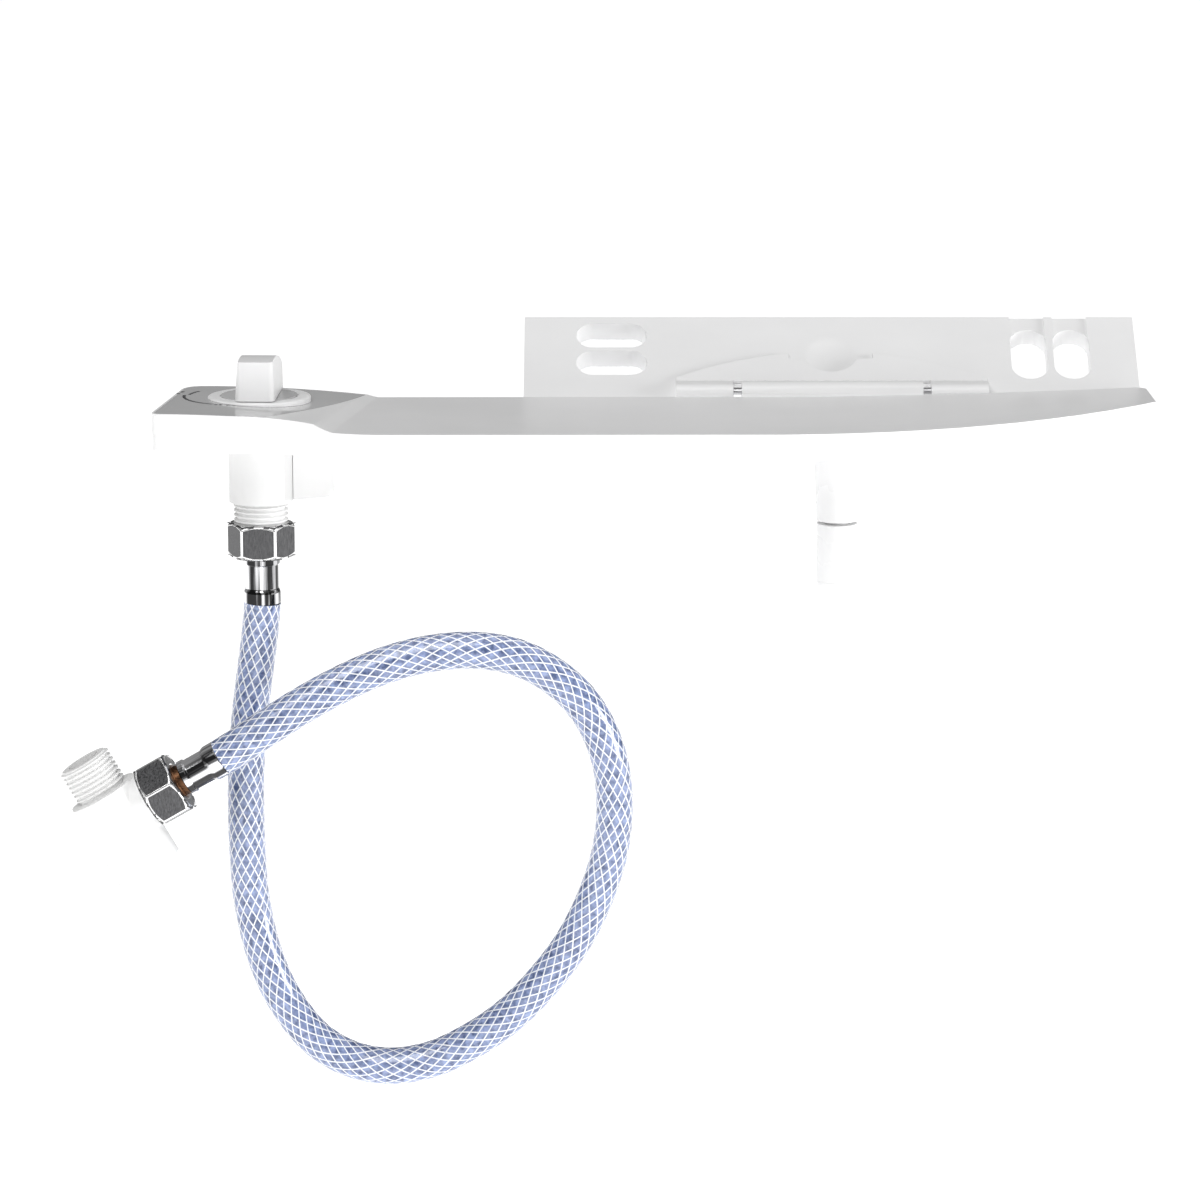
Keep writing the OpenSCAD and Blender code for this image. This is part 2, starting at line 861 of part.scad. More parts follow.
dip_r = 48;
dip_deep = 1.2;
foot_spots = [[-30, 32], [30, 32]];
foot_size = [26, 10];
module mount_plate() {
    color("white")
        on_plate()
            difference() {
                union() {
                    translate([0, 0, plate_top - plate_t])
                        linear_extrude(plate_t)
                            difference() {
                                polygon(plate_outline(0));
                                polygon(plate_outline(wall));
                            }
                    translate([0, 0, plate_top - 2.4])
                        linear_extrude(2.4)
                            polygon(plate_outline(0));
                    translate([0, 0, plate_top - plate_t])
                        linear_extrude(plate_t)
                            intersection() {
                                each_slot(1.8);
                                polygon(plate_outline(0.5));
                            }
                    for (p = foot_spots)
                        translate([p[0], p[1], plate_top - plate_t / 2])
                            cube([foot_size[0], foot_size[1], plate_t], center = true);
                    for (x = [-knuckle_out, knuckle_in])
                        translate([x, 0, 0])
                            rotate([90, 0, 90])
                                linear_extrude(knuckle_out - knuckle_in)
                                    knuckle_form();
                }
                translate([0, 0, plate_top - plate_t - 1])
                    linear_extrude(plate_t + 2)
                        each_slot(0);
                for (p = right_slots)
                    translate([p[0] - slot_w / 2, p[1], plate_top - 0.9])
                        cube([slot_w, plate_len, 5]);
                translate([-38.6, -6, plate_top - plate_t - 1])
                    cube([77.2, 11.4, plate_t + 6]);
                translate([0, 22.6, plate_top + dip_r - dip_deep])
                    sphere(r = dip_r, $fn = 96);
                for (p = foot_spots)
                    translate([p[0], p[1], plate_top - plate_t])
                        cube([foot_size[0] - 4, foot_size[1] - 3, 1.2], center = true);
                for (x = [-52, 52])
                    translate([x, cover_screw_s, plate_top - plate_t - 1])
                        cylinder(r = 1.3, h = 20, $fn = 32);
                translate([-50, 0, 0])
                    rotate([0, 90, 0])
                        cylinder(r = pin_r + run_gap, h = 100);
            }
}

// Raised cover over the hinge, with a finger notch in its rear edge
cover_t = 1.9;
cover_half = 61.2;
cover_arc_r = 136;
cover_reach = 22.9;
module hinge_cover() {
    color("white")
        on_plate()
            translate([0, 0, plate_top + eps])
                difference() {
                    linear_extrude(cover_t)
                        difference() {
                            intersection() {
                                translate([-cover_half, cover_from])
                                    square([2 * cover_half, 40]);
                                translate([0, cover_reach - cover_arc_r])
                                    circle(r = cover_arc_r, $fn = 240);
                            }
                            translate([-16.5, 18.9])
                                square([33, 10]);
                            translate([0, 22.6])
                                circle(r = 10.8);
                        }
                    for (x = [-52, 52])
                        translate([x, cover_screw_s, -1])
                            cylinder(r = 1.1, h = 2.2, $fn = 32);
                }
}

module plate_screws() {
    color("silver")
        on_plate()
            for (x = [-52, 52])
                translate([x, cover_screw_s, 0]) {
                    translate([0, 0, plate_top - 4.4])
                        cylinder(r = 2.4, h = 1.9, $fn = 32);
                    translate([0, 0, plate_top - 3])
                        cylinder(r = 1.1, h = 4, $fn = 32);
                }
}

module plate_pads() {
    color("dimgray")
        on_plate()
            for (p = foot_spots)
                translate([p[0], p[1], plate_top - plate_t + 0.6 - (pad_proud + 0.6) / 2])
                    cube([foot_size[0] - 4, foot_size[1] - 3, pad_proud + 0.6], center = true);
}

// Union nut drawn around +Z: seat end at z = 0, open end at z = nut_h
module union_nut() {
    difference() {
        intersection() {
            cylinder(r = nut_ac_r, h = nut_h, $fn = 6);
            rotate_extrude(convexity = 4)
                polygon([[0, 0], [nut_ac_r - 1.7, 0], [nut_ac_r, 1.3],
                         [nut_ac_r, nut_h - 1.3], [nut_ac_r - 1.7, nut_h], [0, nut_h]]);
        }
        translate([0, 0, 2.4])
            cylinder(r = thread_r + run_gap, h = 20);
        translate([0, 0, -1])
            cylinder(r = 7.1, h = 6);
    }
}

// Tail of a hose end, drawn like the nut: flange inside the nut, neck out at the seat end
module hose_tail(neck) {
    difference() {
        union() {
            translate([0, 0, 2.46])
                cylinder(r = 10, h = 1.6);
            translate([0, 0, -neck])
                cylinder(r = 6.2, h = 3 + neck);
            translate([0, 0, -0.3])
                cylinder(r = 7.04, h = 3);
        }
        translate([0, 0, -10])
            cylinder(r = 4, h = 30);
    }
}

module seal_washer() {
    translate([0, 0, 4.06])
        difference() {
            cylinder(r = 9.8, h = 1.7);
            translate([0, 0, -1])
                cylinder(r = 5, h = 5);
        }
}

// Crimped ferrule below the tail, drawn around +Z, open end at z = -ferrule_len
neck_upper = 0.4;
neck_lower = 2.2;
module ferrule(neck) {
    difference() {
        rotate_extrude(convexity = 4)
            polygon([[0, -neck], [6.6, -neck], [7, -neck - 0.4], [7, -neck - 2.4],
                     [6.4, -neck - 3.1], [6.4, -12.4], [7, -13.6], [7.2, -14.4],
                     [7.2, 0.5 - ferrule_len], [7, -ferrule_len], [0, -ferrule_len]]);
        translate([0, 0, -ferrule_len - 1])
            cylinder(r = 4, h = 40);
    }
}

module at_upper() {
    translate([knob_x, knob_y, nut_foot])
        children();
}

// The lower set runs down and away from the hose end along the branch axis
branch_dir = [-cos(branch_tilt), 0, -sin(branch_tilt)];
nut_lower_at = hose_end + ferrule_len * branch_dir;
module at_lower() {
    translate(nut_lower_at)
        rotate([0, -90 - branch_tilt, 0])
            children();
}

module nut_upper() {
    color("dimgray")
        at_upper()
            rotate([0, 0, -2])
                union_nut();
}

module washer_upper() {
    color("black")
        at_upper()
            seal_washer();
}

module hose_tail_upper() {
    color("goldenrod")
        at_upper()
            hose_tail(neck_upper);
}

module ferrule_upper() {
    color("silver")
        at_upper()
            ferrule(neck_upper);
}

module hose_tube() {
    color("lightsteelblue")
        sweep(hose_rings, hose_d / 2, 12, [0, 0, -1], branch_dir);
}

module ferrule_lower() {
    color("silver")
        at_lower()
            ferrule(neck_lower);
}

module hose_tail_lower() {
    color("goldenrod")
        at_lower()
            hose_tail(neck_lower);
}

module nut_lower() {
    color("dimgray")
        at_lower()
            rotate([0, 0, 43.7])
                union_nut();
}

module washer_lower() {
    color("black")
        at_lower()
            seal_washer();
}

// Smooth curve through the route's points, one extra ring between each pair
function spline_mid(p, i) =
    (-p[max(i - 1, 0)] + 9 * p[i] + 9 * p[i + 1] - p[min(i + 2, len(p) - 1)]) / 16;
hose_rings = concat(
    [for (i = [0 : len(hose_points) - 2]) each [hose_points[i], spline_mid(hose_points, i)]],
    [hose_end]);

// T adapter, drawn with its branch along +Z from the branch seat and its run along x
tee_reach = 28;
socket_len = 23;
male_len = 25.5;
module tee_run() {
    translate([0, 0, tee_reach])
        rotate([0, -90, 0])
            children();
}

module tee_body() {
    color("white")
        at_lower()
            difference() {
                union() {
                    difference() {
                        tee_run()
                            rotate([0, 0, 11])
                                translate([0, 0, -11])
                                    intersection() {
                                        cylinder(r = 14.6, h = socket_len + 11, $fn = 8);
                                        cylinder(r = 13.9, h = socket_len + 11, $fn = 96);
                                    }
                        cylinder(r = nut_ac_r + 0.5, h = nut_h + 0.4);
                    }
                    tee_run() {
                        translate([0, 0, -male_len])
                            cylinder(r = 9.3, h = 20);
                        for (k = [0 : 6])
                            translate([0, 0, 0.3 - male_len + 1.9 * k])
                                rotate_extrude()
                                    polygon([[9, 0], [thread_r, 0.6], [thread_r, 1],
                                             [9, 1.6]]);
                    }
                    translate([0, 0, 5.9])
                        cylinder(r = 9.3, h = 12);
                    for (k = [0 : 3])
                        translate([0, 0, 6 + 1.9 * k])
                            rotate_extrude()
                                polygon([[9, 0], [thread_r, 0.6], [thread_r, 1], [9, 1.6]]);
                    translate([0, 0, 13.6])
                        cylinder(r = 11.4, h = 9);
                }
                tee_run() {
                    translate([0, 0, 10])
                        cylinder(r = 11, h = 2.6);
                    translate([0, 0, 12])
                        cylinder(r = thread_r, h = 20);
                    translate([0, 0, -40])
                        cylinder(r = 6.5, h = 60);
                }
                translate([0, 0, 3])
                    cylinder(r = 5, h = tee_reach - 3);
            }
}

module tee_washer() {
    color("black")
        at_lower()
            tee_run()
                translate([0, 0, 10])
                    difference() {
                        cylinder(r = 10.3, h = 2);
                        translate([0, 0, -1])
                            cylinder(r = 6.5, h = 5);
                    }
}

base_shell();
top_shell();
panel_inlay();
bezel_ring();
case_screws();
rim_pads();
knob_lever();
lever_plug();
knob_disc();
knob_screw();
valve_stem();
stem_o_ring();
ceramic_disc_rotor();
ceramic_disc_fixed();
disc_seat_washer();
valve_bonnet();
valve_body();
outlet_elbow();
inlet_filter();
feed_tube();
tube_clamps();
nozzle_guide();
guide_retainer();
nozzle_spring();
nozzle_stem();
piston_seal();
nozzle_sleeve();
nozzle_tip();
hinge_barrel();
hinge_pin();
mount_plate();
hinge_cover();
plate_screws();
plate_pads();
nut_upper();
washer_upper();
hose_tail_upper();
ferrule_upper();
hose_tube();
ferrule_lower();
hose_tail_lower();
nut_lower();
washer_lower();
tee_body();
tee_washer();
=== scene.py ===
import json
import math

import bmesh
import bpy
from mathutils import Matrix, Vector


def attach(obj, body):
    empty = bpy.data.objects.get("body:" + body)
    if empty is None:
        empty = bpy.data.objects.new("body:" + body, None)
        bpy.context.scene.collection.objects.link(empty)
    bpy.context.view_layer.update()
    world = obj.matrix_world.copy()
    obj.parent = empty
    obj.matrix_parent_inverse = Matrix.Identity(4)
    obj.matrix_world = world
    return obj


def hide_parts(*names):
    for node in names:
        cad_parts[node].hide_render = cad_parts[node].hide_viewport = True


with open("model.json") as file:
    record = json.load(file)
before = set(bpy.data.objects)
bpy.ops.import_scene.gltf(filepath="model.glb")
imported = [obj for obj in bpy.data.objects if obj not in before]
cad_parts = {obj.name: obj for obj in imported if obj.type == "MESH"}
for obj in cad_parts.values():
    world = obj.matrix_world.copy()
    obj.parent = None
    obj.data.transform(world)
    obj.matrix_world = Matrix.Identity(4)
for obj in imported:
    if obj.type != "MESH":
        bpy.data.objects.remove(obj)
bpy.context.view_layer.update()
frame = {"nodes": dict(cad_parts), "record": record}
NODES = frame["nodes"]
MM = 0.001

# ---------------------------------------------------------------- camera
CAMERA_AT = (-0.0910, -1.7903, 0.3134)
CAMERA_PITCH = math.radians(12)
CAMERA_LENS = 140.4

camera_data = bpy.data.cameras.new("camera")
camera_data.lens = CAMERA_LENS
camera_data.sensor_width = 36
camera = bpy.data.objects.new("camera", camera_data)
camera.location = CAMERA_AT
camera.rotation_euler = (math.pi / 2 - CAMERA_PITCH, 0, 0)
bpy.context.scene.collection.objects.link(camera)
bpy.context.scene.camera = camera


# ---------------------------------------------------------------- mesh helpers
def new_object(name, bm):
    """A mesh object from a bmesh, with its normals turned outwards."""
    bmesh.ops.recalc_face_normals(bm, faces=bm.faces)
    mesh = bpy.data.meshes.new(name)
    bm.to_mesh(mesh)
    bm.free()
    obj = bpy.data.objects.new(name, mesh)
    bpy.context.scene.collection.objects.link(obj)
    return obj


def smooth(obj, degrees):
    """Smooth shading, with edges sharper than the angle kept sharp."""
    obj.data.polygons.foreach_set("use_smooth", [True] * len(obj.data.polygons))
    obj.data.set_sharp_from_angle(angle=math.radians(degrees))
    return obj


def smooth_group(degrees):
    """Geometry nodes that shade smooth, with edges over the angle kept sharp."""
    group = bpy.data.node_groups.new("smooth_by_angle", "GeometryNodeTree")
    group.interface.new_socket("Geometry", in_out="INPUT", socket_type="NodeSocketGeometry")
    group.interface.new_socket("Geometry", in_out="OUTPUT", socket_type="NodeSocketGeometry")
    start = group.nodes.new("NodeGroupInput")
    finish = group.nodes.new("NodeGroupOutput")
    angle = group.nodes.new("GeometryNodeInputMeshEdgeAngle")
    below = group.nodes.new("FunctionNodeCompare")
    below.data_type = "FLOAT"
    below.operation = "LESS_EQUAL"
    below.inputs["B"].default_value = math.radians(degrees)
    edges = group.nodes.new("GeometryNodeSetShadeSmooth")
    edges.domain = "EDGE"
    faces = group.nodes.new("GeometryNodeSetShadeSmooth")
    faces.domain = "FACE"
    link = group.links.new
    link(angle.outputs["Unsigned Angle"], below.inputs["A"])
    link(start.outputs["Geometry"], edges.inputs["Geometry"])
    link(below.outputs["Result"], edges.inputs["Shade Smooth"])
    link(edges.outputs["Geometry"], faces.inputs["Geometry"])
    link(faces.outputs["Geometry"], finish.inputs["Geometry"])
    return group


SMOOTH = smooth_group(32)
BEVEL_SEGMENTS = 3
BEVEL_ANGLE = math.radians(28)
FLAT_ANGLE = math.radians(0.5)
WELD_GAP = 0.001 * MM


def soften(node, width, highlight_slot=-1):
    """Rounds a CAD node's edges with modifiers and leaves its mesh alone.

    The width is in millimetres, and 0 leaves the edges square. A slot of 0 or more gives the
    rounded edges that material, a painted edge highlight, at their full width even where they
    meet.
    """
    obj = NODES[node]
    weld = obj.modifiers.new("weld", "WELD")
    weld.merge_threshold = WELD_GAP
    flat = obj.modifiers.new("flat", "DECIMATE")
    flat.decimate_type = "DISSOLVE"
    flat.angle_limit = FLAT_ANGLE
    if width > 0:
        bevel = obj.modifiers.new("edges", "BEVEL")
        bevel.width = width * MM
        bevel.segments = BEVEL_SEGMENTS
        bevel.limit_method = "ANGLE"
        bevel.angle_limit = BEVEL_ANGLE
        bevel.use_clamp_overlap = highlight_slot < 0
        bevel.miter_outer = "MITER_ARC"
        bevel.material = highlight_slot
    shade = obj.modifiers.new("smooth", "NODES")
    shade.node_group = SMOOTH
    even_out = obj.modifiers.new("normals", "WEIGHTED_NORMAL")
    even_out.keep_sharp = True
    even_out.weight = 80


# ---------------------------------------------------------------- hose
# The points are the CAD route's own, in millimetres, from the upper ferrule to the lower one.
HOSE_R = 7.2 * MM
HOSE_SIDES = 40
END_LIP = 0.97   # the hose's radius at the very end, as a share of its own
END_BORE = 0.5   # where the end's face is turned in, as a share of the radius
YARNS = 13       # wound each way
YARN_PITCHES = {1: 74 * MM, -1: 96 * MM}
YARN_WIDTH = 0.58 * MM
YARN_R = 7.26 * MM
YARN_DEPTH = 0.2 * MM
KNOB_X, KNOB_Y = -222.1, -12.5
HOSE_STEPS = 10   # curve pieces between two points
HOSE_GAP = 2.0 * MM
HOSE_POINTS = [
    (KNOB_X, KNOB_Y, -65.4), (-223.1, -12.7, -76), (-224.9, -13.5, -90), (-226.9, -15, -105),
    (-228.6, -17, -122), (-229.2, -19.2, -142), (-228.8, -21, -162), (-227.4, -22, -182),
    (-223, -23, -203), (-215.6, -23.8, -221), (-204, -24.6, -237), (-190, -25.4, -246),
    (-174, -26.2, -249), (-157, -27, -246), (-141, -27.8, -238), (-126, -28.8, -227),
    (-113, -29.6, -213), (-101.6, -30.5, -197), (-92.6, -31.4, -178), (-87, -32.3, -159),
    (-85.4, -33.2, -140), (-87.6, -34, -122), (-94.6, -34.9, -105), (-105.6, -35.8, -92),
    (-121, -36.6, -82.6), (-138, -37.5, -79), (-156, -38.4, -80), (-174, -39.3, -84.6),
    (-191, -40.1, -92), (-206.6, -41, -100.6), (-221, -41.9, -109.8), (-236.7, -42.5, -120),
]
BRANCH_TILT = math.radians(30)
VALVE_DIR = Vector((0, 0, -1))
BRANCH_DIR = Vector((-math.cos(BRANCH_TILT), 0, -math.sin(BRANCH_TILT)))
SIDEWAYS = Vector((0.02, 1, 0.03))   # never along the hose, so that no frame flips


def spline(points, steps):
    """Catmull-Rom curve through the points, leaving and arriving along the fittings' axes."""
    pts = [Vector(p) * MM for p in points]
    first = pts[0] - VALVE_DIR * (pts[1] - pts[0]).length
    last = pts[-1] + BRANCH_DIR * (pts[-1] - pts[-2]).length
    pts = [first] + pts + [last]
    out = []
    for i in range(1, len(pts) - 2):
        a, b, c, d = pts[i - 1:i + 3]
        for k in range(steps):
            t = k / steps
            out.append(0.5 * (2 * b + (c - a) * t + (2 * a - 5 * b + 4 * c - d) * t * t
                              + (3 * b - a - 3 * c + d) * t ** 3))
    out.append(pts[-2])
    return out


def even(points, gap):
    """The same line with its points the same distance apart, and its length."""
    lengths = [0.0]
    for a, b in zip(points, points[1:]):
        lengths.append(lengths[-1] + (b - a).length)
    total = lengths[-1]
    count = max(2, round(total / gap))
    out, j = [], 0
    for i in range(count + 1):
        want = total * i / count
        while j < len(lengths) - 2 and lengths[j + 1] < want:
            j += 1
        t = (want - lengths[j]) / (lengths[j + 1] - lengths[j])
        out.append(points[j].lerp(points[j + 1], min(1, max(0, t))))
    return out, total


HOSE_LINE, HOSE_LENGTH = even(spline(HOSE_POINTS, HOSE_STEPS), HOSE_GAP)


def line_frames(line):
    """Across and up vectors at each point of a line that runs mostly in the xz plane."""
    frames = []
    for i, point in enumerate(line):
        run = (line[min(i + 1, len(line) - 1)] - line[max(i - 1, 0)]).normalized()
        across = run.cross(SIDEWAYS).normalized()
        frames.append((point, across, run.cross(across)))
    return frames


HOSE_FRAMES = line_frames(HOSE_LINE)


def tube(name, frames, radius, sides):
    """A closed tube along the frames, with a lip turned in at both ends."""
    bm = bmesh.new()
    first, last = frames[0], frames[-1]
    stations = [(first, radius * END_BORE), (first, radius * END_LIP)]
    stations += [(at, radius) for at in frames]
    stations += [(last, radius * END_LIP), (last, radius * END_BORE)]
    turns = [2 * math.pi * k / sides for k in range(sides)]
    rings = [[bm.verts.new(point + r * (math.cos(a) * across + math.sin(a) * up)) for a in turns]
             for (point, across, up), r in stations]
    for a, b in zip(rings, rings[1:]):
        for k in range(sides):
            bm.faces.new((a[k], a[(k + 1) % sides], b[(k + 1) % sides], b[k]))
    bm.faces.new(rings[0])
    bm.faces.new(reversed(rings[-1]))
    return smooth(new_object(name, bm), 60)


def hose_yarns():
    """White yarns wound both ways round the hose, each a flat ribbon just proud of it."""
    bm = bmesh.new()
    gap = HOSE_LENGTH / (len(HOSE_FRAMES) - 1)
    half = YARN_WIDTH / 2 / HOSE_R
    outline = ((-half, YARN_R - YARN_DEPTH), (-half, YARN_R), (half, YARN_R),
               (half, YARN_R - YARN_DEPTH))
    for turn in (1, -1):
        for yarn in range(YARNS):
            start = 2 * math.pi * (yarn + (0.5 if turn < 0 else 0)) / YARNS
            previous = None
            for i, (point, across, up) in enumerate(HOSE_FRAMES):
                angle = start + turn * 2 * math.pi * i * gap / YARN_PITCHES[turn]
                corners = []
                for aside, r in outline:
                    a = angle + aside
                    corners.append(bm.verts.new(
                        point + r * (math.cos(a) * across + math.sin(a) * up)))
                if previous:
                    for k in range(4):
                        bm.faces.new((previous[k], previous[(k + 1) % 4],
                                      corners[(k + 1) % 4], corners[k]))
                else:
                    bm.faces.new(corners)
                previous = corners
            bm.faces.new(reversed(previous))
    return smooth(new_object("hose_yarns", bm), 50)


hose = tube("hose_pvc", HOSE_FRAMES, HOSE_R, HOSE_SIDES)
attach(hose, "casing")
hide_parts("hose_tube")
yarns = hose_yarns()
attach(yarns, "casing")


# ---------------------------------------------------------------- dial marks
# In millimetres and degrees. The crown is the pod top's own dome.
POD_Z = 15.3
CROWN_X, CROWN_R = -245.4, 594
DIAL_AT = (-230.5, -9.2)
DIAL_R = 20.8
PRINT_LIFT = 0.05
DASHES = (249, 254, 262, 268)
DASH_LONG = 3
UPPER_DASHES = ((155, 159), (165, 168.5))


def crown(x):
    """The height of the pod's slightly domed top."""
    return POD_Z - (x - CROWN_X) ** 2 / (2 * CROWN_R)


def dial_marks():
    """A tapered flow arc and a few dashes printed on the inlay, left of and before the knob."""
    bm = bmesh.new()

    def strip(radius, start, stop, width_at, steps):
        """A printed stroke round the dial, from one angle to another in degrees."""
        previous = None
        for i in range(steps + 1):
            t = i / steps
            angle = math.radians(start + (stop - start) * t)
            pair = []
            for side in (-0.5, 0.5):
                r = radius + side * width_at(t)
                x = DIAL_AT[0] + r * math.cos(angle)
                y = DIAL_AT[1] + r * math.sin(angle)
                for lift in (0.0, PRINT_LIFT):
                    pair.append(bm.verts.new(Vector((x, y, crown(x) + lift)) * MM))
            if previous:
                for a, b in ((0, 1), (1, 3), (3, 2), (2, 0)):
                    bm.faces.new((previous[a], previous[b], pair[b], pair[a]))
            else:
                bm.faces.new((pair[0], pair[1], pair[3], pair[2]))
            previous = pair
        bm.faces.new((previous[0], previous[2], previous[3], previous[1]))

    strip(DIAL_R, 176, 246, lambda t: 1.3 - 0.5 * t, 40)
    for angle in DASHES:
        strip(DIAL_R, angle, angle + DASH_LONG, lambda t: 1.3, 3)
    for start, stop in UPPER_DASHES:
        strip(DIAL_R + 3.4, start, stop, lambda t: 1.2, 3)
    strip(DIAL_R - 1.6, 146, 172, lambda t: 1.0, 8)
    return new_object("dial_marks", bm)


marks = dial_marks()
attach(marks, "casing")


# ---------------------------------------------------------------- materials
RELIEF = 0.2 * MM   # height that a bump of strength 1 stands for
GRAIN = 2600        # noise scales: fine moulded grain, gloss patches and flow marks
GLOSS_PATCH = 60
FLOW = 28


def material(name, color, roughness, **sockets):
    """A Principled material with its uniform values on the shader's own sockets."""
    mat = bpy.data.materials.new(name)
    mat.use_nodes = True
    shader = mat.node_tree.nodes["Principled BSDF"]
    shader.inputs["Base Color"].default_value = (*color, 1)
    shader.inputs["Roughness"].default_value = roughness
    for key, value in sockets.items():
        shader.inputs[key.replace("_", " ")].default_value = value
    return mat


def add(mat, kind):
    return mat.node_tree.nodes.new(kind)


def link(mat, a, b):
    mat.node_tree.links.new(a, b)


def noise(mat, scale, detail=4.0, stretch=(1, 1, 1), tilt=0.0):
    """Object-space noise, turned about y and stretched along the axes."""
    place = add(mat, "ShaderNodeTexCoord")
    mapping = add(mat, "ShaderNodeMapping")
    mapping.inputs["Scale"].default_value = stretch
    texture = add(mat, "ShaderNodeTexNoise")
    texture.inputs["Scale"].default_value = scale
    texture.inputs["Detail"].default_value = detail
    turn = add(mat, "ShaderNodeMapping")
    turn.inputs["Rotation"].default_value = (0, tilt, 0)
    link(mat, place.outputs["Object"], turn.inputs["Vector"])
    link(mat, turn.outputs["Vector"], mapping.inputs["Vector"])
    link(mat, mapping.outputs["Vector"], texture.inputs["Vector"])
    return texture


def vary_color(mat, texture, low, high, start=0.35, stop=0.65):
    """Lets a texture move the base colour from one colour to another."""
    ramp = add(mat, "ShaderNodeValToRGB")
    ramp.color_ramp.elements[0].position = start
    ramp.color_ramp.elements[0].color = (*low, 1)
    ramp.color_ramp.elements[1].position = stop
    ramp.color_ramp.elements[1].color = (*high, 1)
    link(mat, texture.outputs["Fac"], ramp.inputs["Fac"])
    link(mat, ramp.outputs["Color"], mat.node_tree.nodes["Principled BSDF"].inputs["Base Color"])


def vary_roughness(mat, texture, low, high):
    """Lets a texture move the roughness between two values."""
    spread = add(mat, "ShaderNodeMapRange")
    spread.inputs["From Min"].default_value = 0.3
    spread.inputs["From Max"].default_value = 0.7
    spread.inputs["To Min"].default_value = low
    spread.inputs["To Max"].default_value = high
    link(mat, texture.outputs["Fac"], spread.inputs["Value"])
    link(mat, spread.outputs["Result"],
         mat.node_tree.nodes["Principled BSDF"].inputs["Roughness"])


def bump(mat, texture, strength, distance=RELIEF):
    """Lets a texture raise and lower the surface."""
    relief = add(mat, "ShaderNodeBump")
    relief.inputs["Strength"].default_value = strength
    relief.inputs["Distance"].default_value = distance
    link(mat, texture.outputs["Fac"], relief.inputs["Height"])
    link(mat, relief.outputs["Normal"],
         mat.node_tree.nodes["Principled BSDF"].inputs["Normal"])


def plastic(name, color, roughness, relief=0.012, coat=0.0):
    """Moulded plastic: faint flow marks in the colour, fine grain in gloss and relief."""
    mat = material(name, color, roughness, Coat_Weight=coat, Coat_Roughness=0.08)
    dark = tuple(c * 0.965 for c in color)
    vary_color(mat, noise(mat, FLOW, 3, (1, 1, 2.2)), dark, color, 0.3, 0.7)
    vary_roughness(mat, noise(mat, GLOSS_PATCH), roughness * 0.9, roughness * 1.12)
    bump(mat, noise(mat, GRAIN, 3), relief)
    return mat


def brushing_and_reflection_streaks(name, color, roughness, stretch, scale=260, spread=(0.72, 1.25), tilt=0.0,
            ramp=(0.35, 0.65)):
    """Metal with streaks along one direction, drawn by stretched noise: brushing in the relief
    and roughness. In the colour, a narrow spread gives brushing and a wide spread gives painted
    reflection bands.
    """
    mat = material(name, color, roughness, Metallic=1.0, Anisotropic=0.4)
    streaks = noise(mat, scale, 6, stretch, tilt)
    vary_color(mat, streaks, tuple(c * spread[0] for c in color),
               tuple(min(1, c * spread[1]) for c in color), *ramp)
    vary_roughness(mat, streaks, roughness * 0.75, roughness * 1.35)
    bump(mat, streaks, 0.12)
    return mat


def rubber(name, color):
    """Matt rubber with a coarse grain."""
    mat = material(name, color, 0.75)
    texture = noise(mat, 1200)
    vary_color(mat, texture, tuple(c * 0.8 for c in color), color)
    bump(mat, texture, 0.25)
    return mat


SHELL = plastic("shell_white", (0.87, 0.87, 0.872), 0.38, coat=0.05)
FITTING = plastic("fitting_white", (0.85, 0.85, 0.845), 0.34)
NOZZLE = plastic("nozzle_white", (0.85, 0.85, 0.85), 0.28)
PANEL = plastic("panel_grey", (0.6, 0.6, 0.604), 0.12, relief=0.006, coat=0.2)
BEZEL = plastic("bezel_pale", (0.96, 0.96, 0.962), 0.3)
DISC = plastic("disc_grey", (0.6, 0.6, 0.604), 0.16)
PRINT = plastic("dial_print", (0.03, 0.03, 0.035), 0.35)
PAD = rubber("pad_rubber", (0.12, 0.12, 0.125))
SEAL = rubber("seal_rubber", (0.03, 0.03, 0.03))
SCREW = brushing_and_reflection_streaks("screw_steel", (0.55, 0.55, 0.56), 0.32, (1, 1, 12))
NUT = brushing_and_reflection_streaks("nut_steel", (0.1, 0.1, 0.103), 0.3, (5, 5, 1), 400)
# A near-white copy of the nut steel for the nuts' rounded edges: a painted edge highlight.
NUT_EDGE_HIGHLIGHT = brushing_and_reflection_streaks("nut_edge_highlight", (0.95, 0.95, 0.95), 0.2, (1, 1, 1), 300, (0.9, 1.05))
# The ferrules' colour bands, from near black to over-bright along the axis, are painted
# reflections; their relief and roughness streaks are brushing.
CHROME_PAINTED_REFLECTIONS = brushing_and_reflection_streaks("ferrule_chrome", (0.5, 0.5, 0.51), 0.12, (10, 10, 0.3), 26, (0.06, 1.9),
                 ramp=(0.44, 0.57))
# The lower ferrule lies along the branch, so its streaks, painted reflection bands in the
# colour, are turned from upright to that slope.
CHROME_TILTED_PAINTED_REFLECTIONS = brushing_and_reflection_streaks("ferrule_chrome_tilted_painted_reflections", (0.5, 0.5, 0.51), 0.12, (10, 10, 0.3), 26,
                        (0.12, 1.9), BRANCH_TILT - math.pi / 2, (0.38, 0.5))
BRASS = brushing_and_reflection_streaks("brass", (0.17, 0.085, 0.045), 0.3, (1, 1, 8))
CERAMIC = plastic("ceramic", (0.8, 0.78, 0.72), 0.2)
FEED = plastic("feed_tube", (0.62, 0.72, 0.82), 0.2)
YARN = material("yarn_white", (0.86, 0.87, 0.9), 0.35, Coat_Weight=0.8, Coat_Roughness=0.06)
fibre = noise(YARN, 1500)
vary_color(YARN, fibre, (0.72, 0.74, 0.8), (0.9, 0.91, 0.93))
bump(YARN, fibre, 0.15)
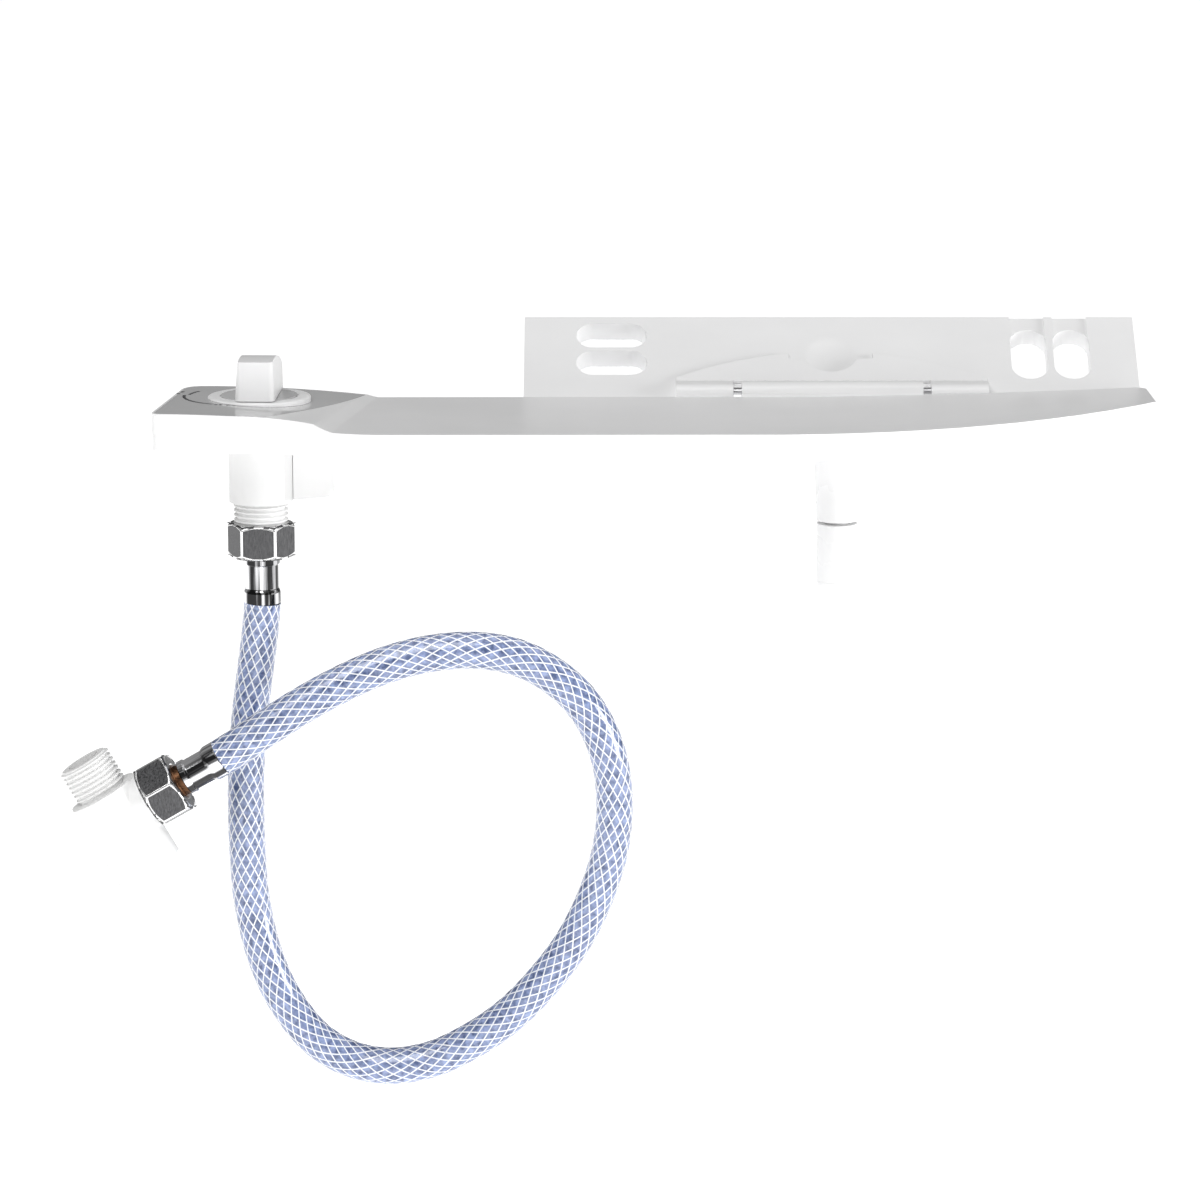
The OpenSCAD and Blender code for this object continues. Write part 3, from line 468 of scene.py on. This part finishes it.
PVC = material("pvc_blue", (0.2, 0.25, 0.42), 0.22, Coat_Weight=1.0, Coat_Roughness=0.04,
               Subsurface_Weight=0.1, Subsurface_Scale=0.003)
cloud = noise(PVC, 420, 5)
vary_color(PVC, cloud, (0.06, 0.09, 0.2), (0.3, 0.37, 0.6), 0.34, 0.66)
bump(PVC, cloud, 0.05, 1.5 * RELIEF)

FINISH = {
    "shell_white": SHELL, "panel_grey": PANEL, "bezel_pale": BEZEL, "disc_grey": DISC,
    "fitting_white": FITTING, "nozzle_white": NOZZLE, "pad_rubber": PAD, "seal_rubber": SEAL,
    "steel_screw": SCREW, "nut_steel": NUT, "ferrule_chrome": CHROME_PAINTED_REFLECTIONS, "brass": BRASS,
    "ceramic": CERAMIC, "tube_clear": FEED, "hose_braid": PVC,
}


def paint(obj, mat):
    obj.data.materials.clear()
    obj.data.materials.append(mat)


for row in frame["record"]["subparts"]:
    paint(NODES[row["node"]], FINISH[row["material_slot"]])
paint(hose, PVC)
paint(yarns, YARN)
paint(marks, PRINT)
paint(NODES["ferrule_lower"], CHROME_TILTED_PAINTED_REFLECTIONS)
# The nuts' rounded edges take the painted highlight from a second slot.
NUTS = ("nut_upper", "nut_lower")
for node in NUTS:
    NODES[node].data.materials.append(NUT_EDGE_HIGHLIGHT)
NUT_HIGHLIGHT_SLOT = 1

# ---------------------------------------------------------------- edges of the CAD nodes
# How wide each visible node's edges are rounded, in millimetres. The others stay square.
EDGE_WIDTHS = {
    "base_shell": 0.5, "top_shell": 0.6, "panel_inlay": 0.15, "bezel_ring": 0.15,
    "knob_lever": 0.9, "valve_body": 0.25, "outlet_elbow": 0.6, "nozzle_guide": 0.3,
    "nozzle_sleeve": 0.3, "nozzle_tip": 0.1, "hinge_barrel": 0.3,
    "hinge_cover": 0.4, "nut_upper": 0.65, "nut_lower": 0.65, "ferrule_upper": 0.15,
    "ferrule_lower": 0.15, "tee_body": 0.25, "hinge_pin": 0.2, "rim_pads": 0.2,
}
for row in frame["record"]["subparts"]:
    name = row["node"]
    if name in NUTS:
        soften(name, EDGE_WIDTHS[name], NUT_HIGHLIGHT_SLOT)
    elif name != "hose_tube":
        soften(name, EDGE_WIDTHS.get(name, 0))

# ---------------------------------------------------------------- floor and light
FLOOR_GAP = 0.3 * MM
FLOOR_Z = min(p.z for p in HOSE_LINE) - HOSE_R - FLOOR_GAP
FLOOR_HALF = 8
FLOOR_GLOW = 0.78
WORLD_LIGHT = 0.24


def stage_floor():
    """A pale floor that glows a little, so that it stays white out to the horizon."""
    bm = bmesh.new()
    bmesh.ops.create_grid(bm, x_segments=2, y_segments=2, size=FLOOR_HALF)
    floor = new_object("floor", bm)
    floor.location = (0, 0, FLOOR_Z)
    paint(floor, material("floor_white", (0.9, 0.9, 0.9), 0.7, Emission_Color=(1, 1, 1, 1),
                          Emission_Strength=FLOOR_GLOW))


stage_floor()


def area_light(name, at, look, size, power):
    """A soft box at a place, aimed at a point, of a width and height and a power in watts."""
    data = bpy.data.lights.new(name, "AREA")
    data.shape = "RECTANGLE"
    data.size, data.size_y = size
    data.energy = power
    light = bpy.data.objects.new(name, data)
    light.location = at
    light.rotation_euler = (Vector(look) - Vector(at)).to_track_quat("-Z", "Y").to_euler()
    bpy.context.scene.collection.objects.link(light)


area_light("key", (-0.8, -1.7, 2.1), (-0.05, 0, -0.02), (2.2, 1.6), 49)
area_light("low_front", (-0.35, -2.4, 0.1), (-0.05, 0, -0.05), (2.0, 1.0), 1)
area_light("side", (2.0, -0.7, 0.14), (0, 0, 0), (0.9, 0.8), 24)
world = bpy.data.worlds.new("world")
world.use_nodes = True
world.node_tree.nodes["Background"].inputs["Color"].default_value = (1, 1, 1, 1)
world.node_tree.nodes["Background"].inputs["Strength"].default_value = WORLD_LIGHT
bpy.context.scene.world = world
bpy.context.scene.view_settings.view_transform = "Standard"
